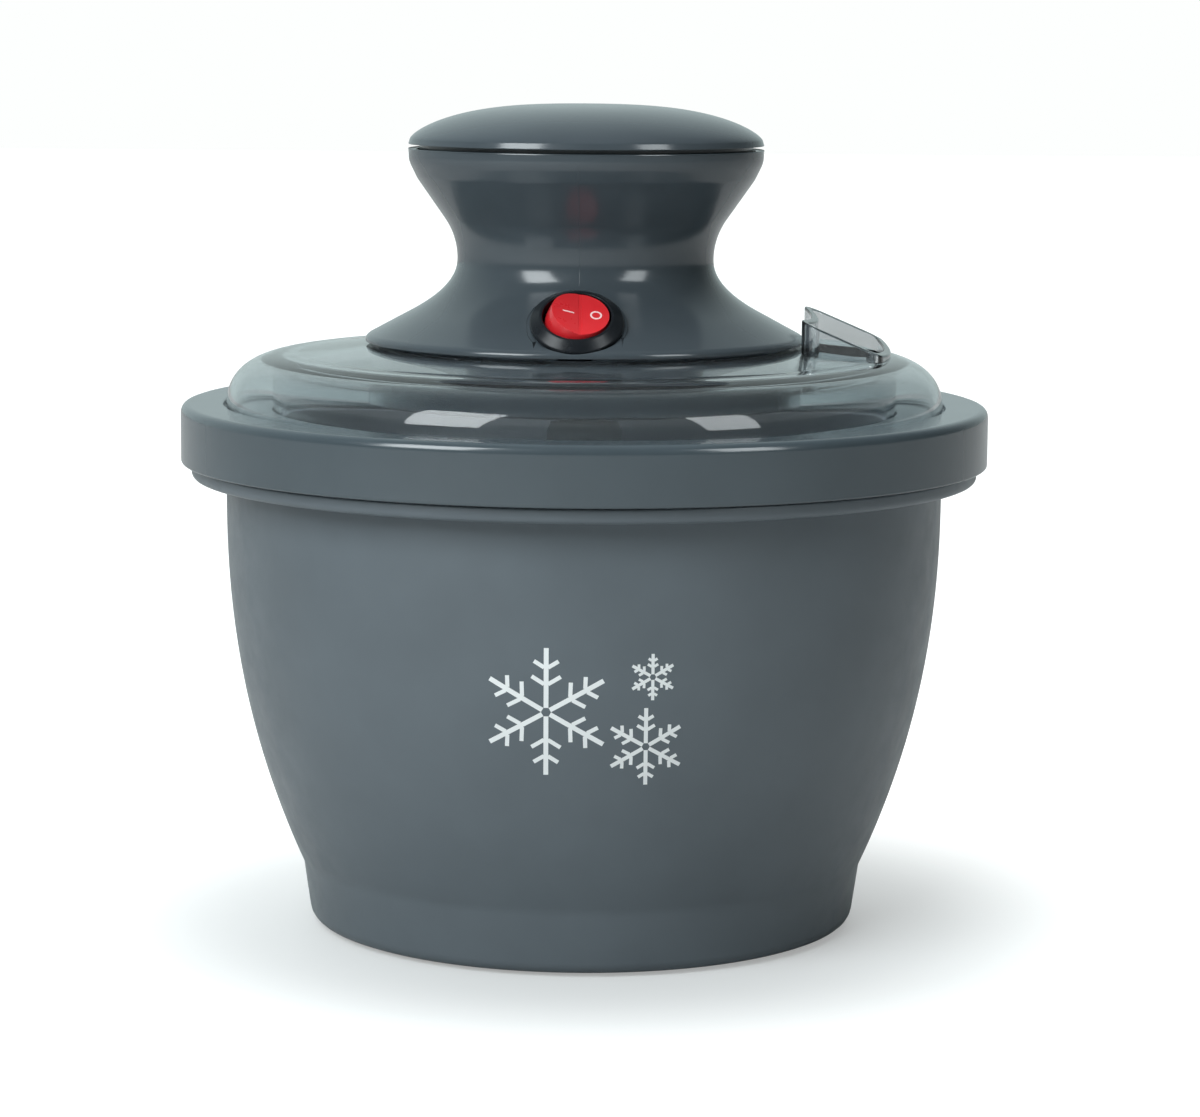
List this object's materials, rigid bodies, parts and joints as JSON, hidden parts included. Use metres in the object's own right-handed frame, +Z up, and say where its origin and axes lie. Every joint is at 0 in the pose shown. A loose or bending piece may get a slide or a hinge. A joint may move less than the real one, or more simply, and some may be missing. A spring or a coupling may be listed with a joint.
{
  "type": "ice cream maker",
  "caption": "Tabletop ice cream maker: flared bucket, lift-out freezer bowl with broad collar, clear lid with filling chute, waisted motor head with rocker switch and mixing paddle.",
  "frame": {"origin": "centre of the machine's axis on the surface it stands on", "axes": "+Z up the machine's axis, -Y towards the switch (front), +X towards the filling chute"},
  "size_m": [0.204, 0.204, 0.2078],
  "materials": {
    "housing_plastic": "satin",
    "gloss_plastic": "gloss",
    "collar_plastic": "semi-gloss",
    "clear_lid": "clear polished plastic",
    "black_plastic": "gloss",
    "red_plastic": "gloss",
    "white_plastic": "satin",
    "gel": "gel",
    "rubber": "matt",
    "aluminium": "satin",
    "steel": "brushed",
    "brass": "turned",
    "copper": "enamelled wire",
    "ferrite": "ground",
    "nylon": "moulded"
  },
  "bodies": {
    "housing": {"outer_housing": "housing_plastic", "foot_1": "rubber", "foot_2": "rubber", "foot_3": "rubber", "foot_4": "rubber"},
    "bowl": {"bowl_collar": "collar_plastic", "bowl_outer_shell": "housing_plastic", "bowl_liner": "aluminium", "coolant_gel": "gel", "bowl_gasket": "rubber", "fill_plug": "black_plastic"},
    "dasher_body": {"dasher": "white_plastic"},
    "lid_body": {"lid": "clear_lid"},
    "motor_unit": {"motor_housing": "gloss_plastic", "top_cap": "gloss_plastic", "motor_base": "housing_plastic", "base_screw_1": "steel", "base_screw_2": "steel", "base_screw_3": "steel", "gear_case": "steel", "gear_case_cover": "steel", "gear_case_screw_1": "steel", "gear_case_screw_2": "steel", "gear_axle_1": "steel", "gear_axle_2": "steel", "motor_can": "steel", "coil_bobbin": "white_plastic", "stator_coil": "copper", "rotor_bush": "brass", "shaft_bush": "brass", "shaft_seal": "rubber", "switch_body": "black_plastic", "switch_terminal_1": "brass", "switch_terminal_2": "brass", "cord_gland": "rubber"},
    "output_drive": {"output_gear": "nylon", "output_shaft": "steel", "drive_coupler": "white_plastic"},
    "first_gear_body": {"first_gear": "nylon"},
    "second_gear_body": {"second_gear": "nylon"},
    "rotor": {"rotor_magnet": "ferrite", "rotor_shaft": "steel", "motor_pinion": "brass"},
    "rocker": {"switch_rocker": "red_plastic"}
  },
  "joints": [
    {"name": "bowl_lift", "type": "slide", "parent": "housing", "child": "bowl", "axis": [0, 0, 1], "range_m": [0, 0.13]},
    {"name": "dasher_spin", "type": "hinge", "parent": "bowl", "child": "dasher_body", "pos_m": [0, 0, 0.036], "axis": [0, 0, 1], "continuous": true},
    {"name": "lid_lift", "type": "slide", "parent": "bowl", "child": "lid_body", "axis": [0, 0, 1], "range_m": [0, 0.06]},
    {"name": "motor_lift", "type": "slide", "parent": "lid_body", "child": "motor_unit", "axis": [0, 0, 1], "range_m": [0, 0.05]},
    {"name": "output_spin", "type": "hinge", "parent": "motor_unit", "child": "output_drive", "pos_m": [0, 0, 0.14], "axis": [0, 0, 1], "continuous": true},
    {"name": "second_gear_spin", "type": "hinge", "parent": "motor_unit", "child": "second_gear_body", "pos_m": [-0.0065, 0.01126, 0.158], "axis": [0, 0, 1], "continuous": true},
    {"name": "first_gear_spin", "type": "hinge", "parent": "motor_unit", "child": "first_gear_body", "pos_m": [0.0065, 0.01126, 0.162], "axis": [0, 0, 1], "continuous": true},
    {"name": "rotor_spin", "type": "hinge", "parent": "motor_unit", "child": "rotor", "pos_m": [0, 0, 0.175], "axis": [0, 0, 1], "continuous": true},
    {"name": "switch_rock", "type": "hinge", "parent": "motor_unit", "child": "rocker", "pos_m": [-0.002, -0.045, 0.1553], "axis": [0, 0.7986, 0.6018], "range_deg": [-22, 0]}
  ],
  "couplings": [
    {"joint": "output_spin", "follows": "dasher_spin", "ratio": 1},
    {"joint": "second_gear_spin", "follows": "dasher_spin", "ratio": -1.8571},
    {"joint": "first_gear_spin", "follows": "dasher_spin", "ratio": 4.3333},
    {"joint": "rotor_spin", "follows": "dasher_spin", "ratio": -13}
  ]
}
